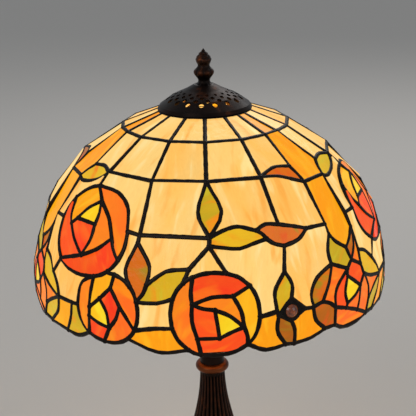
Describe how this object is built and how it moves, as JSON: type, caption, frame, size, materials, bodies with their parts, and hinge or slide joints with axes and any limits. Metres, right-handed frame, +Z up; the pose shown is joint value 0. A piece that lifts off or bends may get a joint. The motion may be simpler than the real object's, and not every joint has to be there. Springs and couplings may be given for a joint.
{
  "type": "stained glass table lamp",
  "caption": "Table lamp with a domed leaded-glass shade of roses and leaves on a cream ground, a vented bronze cap with finial, and a fluted bronze stem on a round foot.",
  "frame": {"origin": "centre of the rest face under the foot", "axes": "+Z up the stem, -Y towards the front of the shade's pattern"},
  "size_m": [0.3071, 0.3058, 0.4709],
  "materials": {
    "amber_glass": "opalescent, lit",
    "cream_glass": "opalescent, lit",
    "gold_glass": "opalescent, lit",
    "green_glass": "streaky, lit",
    "jewel_glass": "pressed cabochon",
    "orange_glass": "streaky, lit",
    "red_glass": "streaky, lit",
    "russet_glass": "streaky, lit",
    "yellow_glass": "opalescent, lit",
    "solder": "blackened patina",
    "bronze": "antique bronze patina",
    "brass": "aged",
    "felt": "felt",
    "iron": "raw",
    "steel": "zinc plated",
    "black_plastic": "moulded",
    "liner_card": "fibre card",
    "phenolic": "moulded phenolic",
    "nickel": "nickel plated",
    "bulb_white": "frosted, lit"
  },
  "bodies": {
    "base": {"foot": "bronze", "fluted_stem": "bronze", "neck_ring": "bronze", "neck_cup": "bronze", "felt_pad": "felt", "ballast_plate": "iron", "rod_washer": "steel", "rod_nut": "steel", "lamp_rod": "steel", "cord_bushing": "black_plastic", "harp_saddle": "brass", "socket_cap": "brass", "socket_shell": "brass", "socket_liner": "liner_card", "switch_body": "phenolic", "screw_shell": "nickel", "centre_contact": "brass"},
    "harp": {"harp_wire": "brass", "swivel_stud": "brass"},
    "shade": {"amber_border_panes": "amber_glass", "amber_stripe_panes": "amber_glass", "cream_crown_panes": "cream_glass", "cream_ground_panes": "cream_glass", "gold_petal_panes": "gold_glass", "green_leaf_panes": "green_glass", "jewel_cabochons": "jewel_glass", "orange_petal_panes": "orange_glass", "red_petal_panes": "red_glass", "russet_leaf_panes": "russet_glass", "yellow_heart_panes": "yellow_glass", "solder_lattice": "solder", "vented_cap": "bronze", "crown_ring": "brass"},
    "finial_turn": {"finial": "bronze"},
    "bulb": {"bulb_base": "nickel", "bulb_glass": "bulb_white"},
    "knob": {"switch_knob": "black_plastic", "switch_shaft": "steel"},
    "ferrule_right": {"harp_ferrule_right": "brass"},
    "ferrule_left": {"harp_ferrule_left": "brass"}
  },
  "joints": [
    {"name": "harp_lift", "type": "slide", "parent": "base", "child": "harp", "axis": [0, 0, 1], "range_m": [0, 0.012]},
    {"name": "shade_turn", "type": "hinge", "parent": "harp", "child": "shade", "pos_m": [0, 0, 0.439], "axis": [0, 0, 1], "continuous": true},
    {"name": "finial_unscrew", "type": "hinge", "parent": "harp", "child": "finial_turn", "pos_m": [0, 0, 0.445], "axis": [0, 0, 1], "continuous": true},
    {"name": "bulb_unscrew", "type": "hinge", "parent": "base", "child": "bulb", "pos_m": [0, 0, 0.27], "axis": [0, 0, 1], "continuous": true},
    {"name": "switch_turn", "type": "hinge", "parent": "base", "child": "knob", "pos_m": [0, -0.02, 0.245], "axis": [0, -1, 0], "continuous": true},
    {"name": "ferrule_right_lift", "type": "slide", "parent": "harp", "child": "ferrule_right", "axis": [0, 0, 1], "range_m": [0, 0.01]},
    {"name": "ferrule_left_lift", "type": "slide", "parent": "harp", "child": "ferrule_left", "axis": [0, 0, 1], "range_m": [0, 0.01]}
  ]
}
